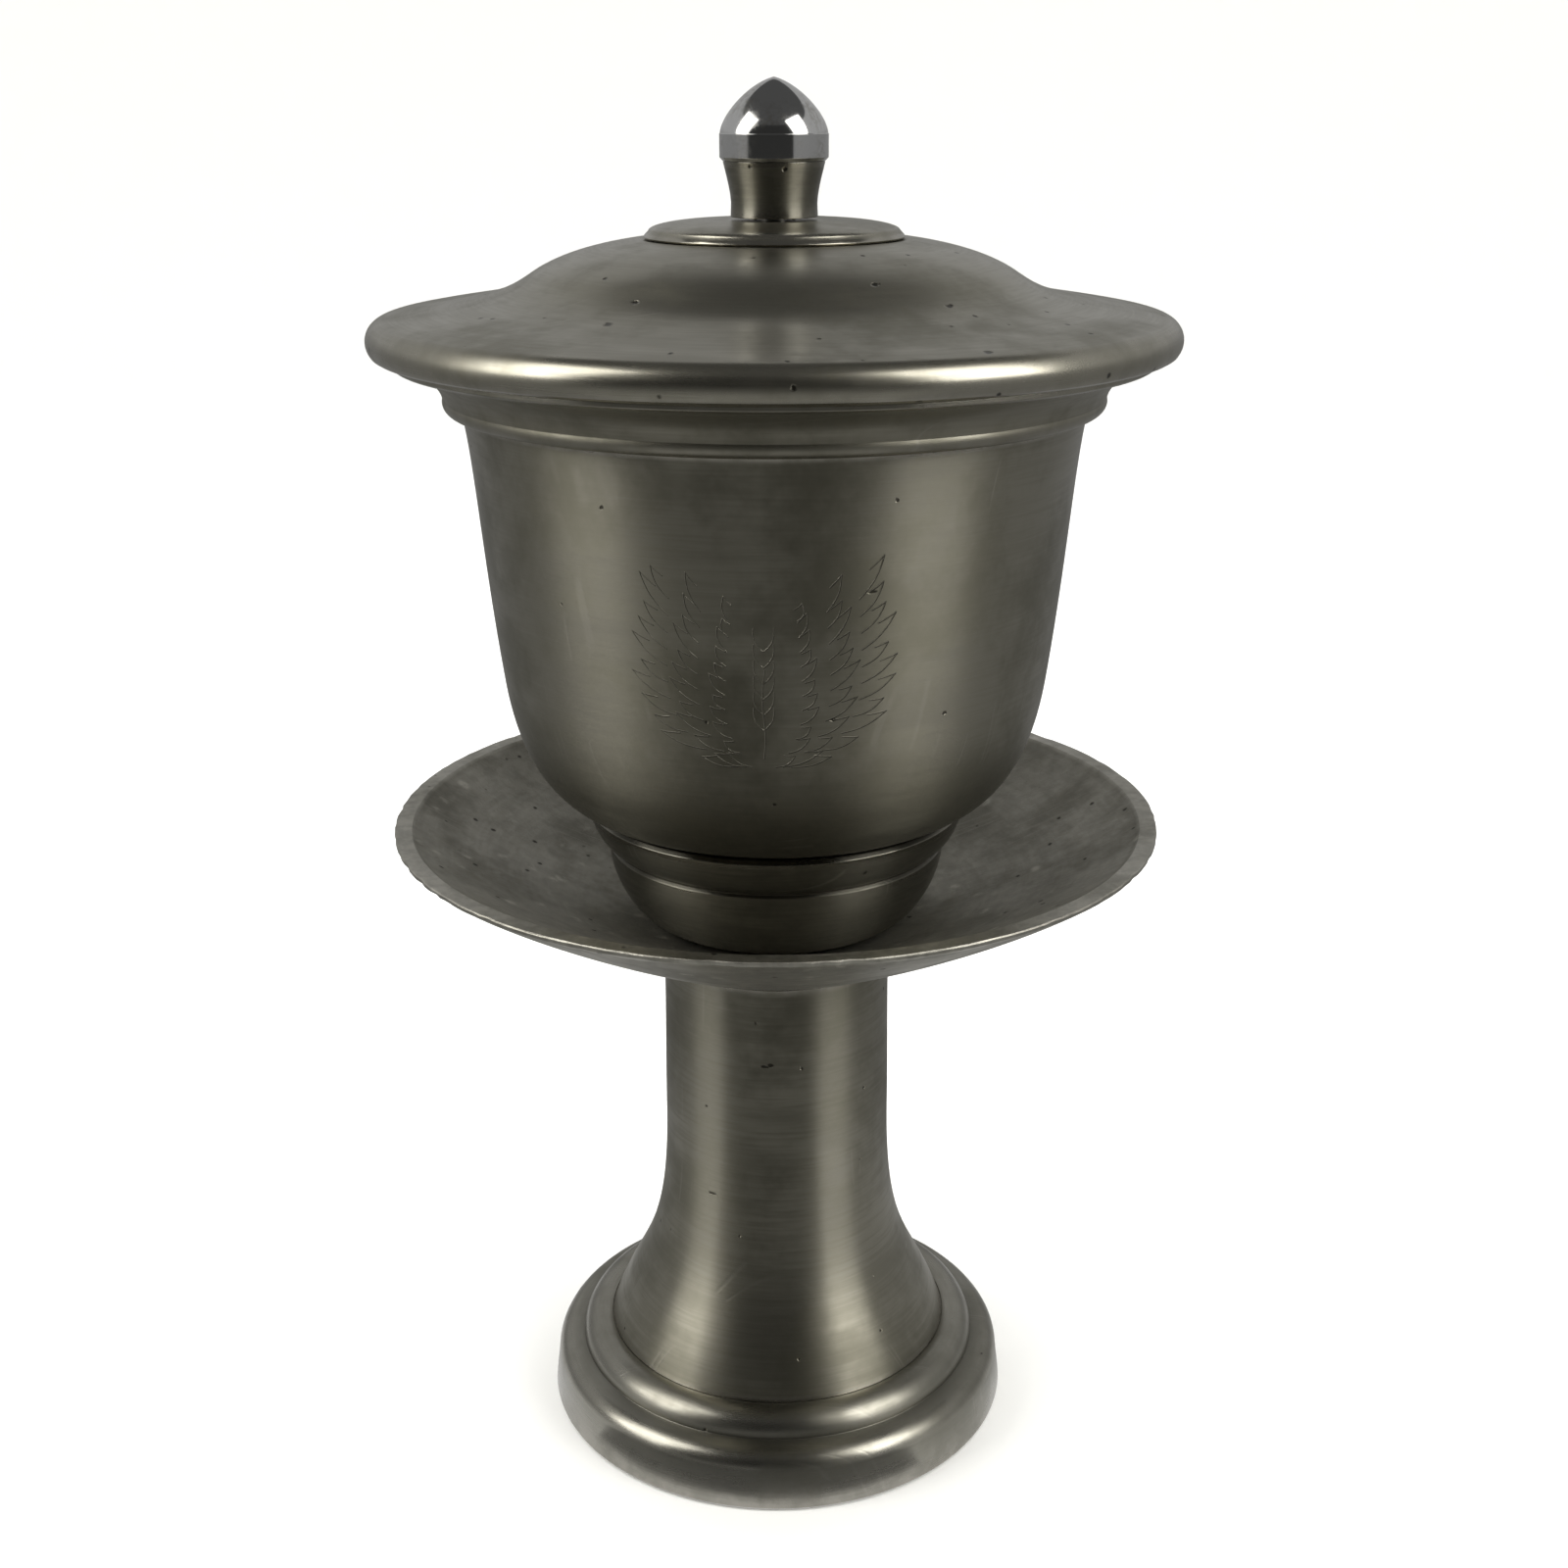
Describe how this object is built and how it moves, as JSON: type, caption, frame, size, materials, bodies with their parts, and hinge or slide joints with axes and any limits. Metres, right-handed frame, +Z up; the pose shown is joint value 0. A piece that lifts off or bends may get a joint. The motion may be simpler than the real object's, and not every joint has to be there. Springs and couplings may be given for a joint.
{
  "type": "communion chalice",
  "caption": "Lidded metal cup with a flared lip and domed lid, lifting off a shallow saucer on a waisted pedestal with a stepped round base.",
  "frame": {"origin": "centre of the round base, on the surface that the chalice stands on", "axes": "+Z up along the turning axis, towards the finial's tip; -Y is the decorated front of the cup"},
  "size_m": [0.0898, 0.0898, 0.1611],
  "materials": {
    "satin_pewter": "satin, turned with fine circumferential marks, lightly stained",
    "cast_pewter": "dull as-cast pewter, mottled, with small pits and pale specks",
    "polished_metal": "mirror polished",
    "fastener_steel": "plain machine-made steel"
  },
  "bodies": {
    "stand": {"base_foot": "satin_pewter", "pedestal_stem": "satin_pewter", "saucer_dish": "cast_pewter", "saucer_stud": "fastener_steel", "stem_washer": "fastener_steel", "stem_nut": "fastener_steel"},
    "cup": {"cup_foot": "satin_pewter", "cup_bowl": "satin_pewter", "cup_lip": "satin_pewter"},
    "lid": {"lid_shell": "satin_pewter", "lid_crown": "satin_pewter", "lid_locating_ring": "cast_pewter", "finial_neck": "satin_pewter", "finial_head": "polished_metal", "finial_stud": "fastener_steel", "finial_washer": "fastener_steel", "finial_nut": "fastener_steel"}
  },
  "joints": [
    {"name": "cup_lift", "type": "slide", "parent": "stand", "child": "cup", "axis": [0, 0, 1], "range_m": [0, 0.04]},
    {"name": "lid_lift", "type": "slide", "parent": "cup", "child": "lid", "axis": [0, 0, 1], "range_m": [0, 0.04]}
  ]
}
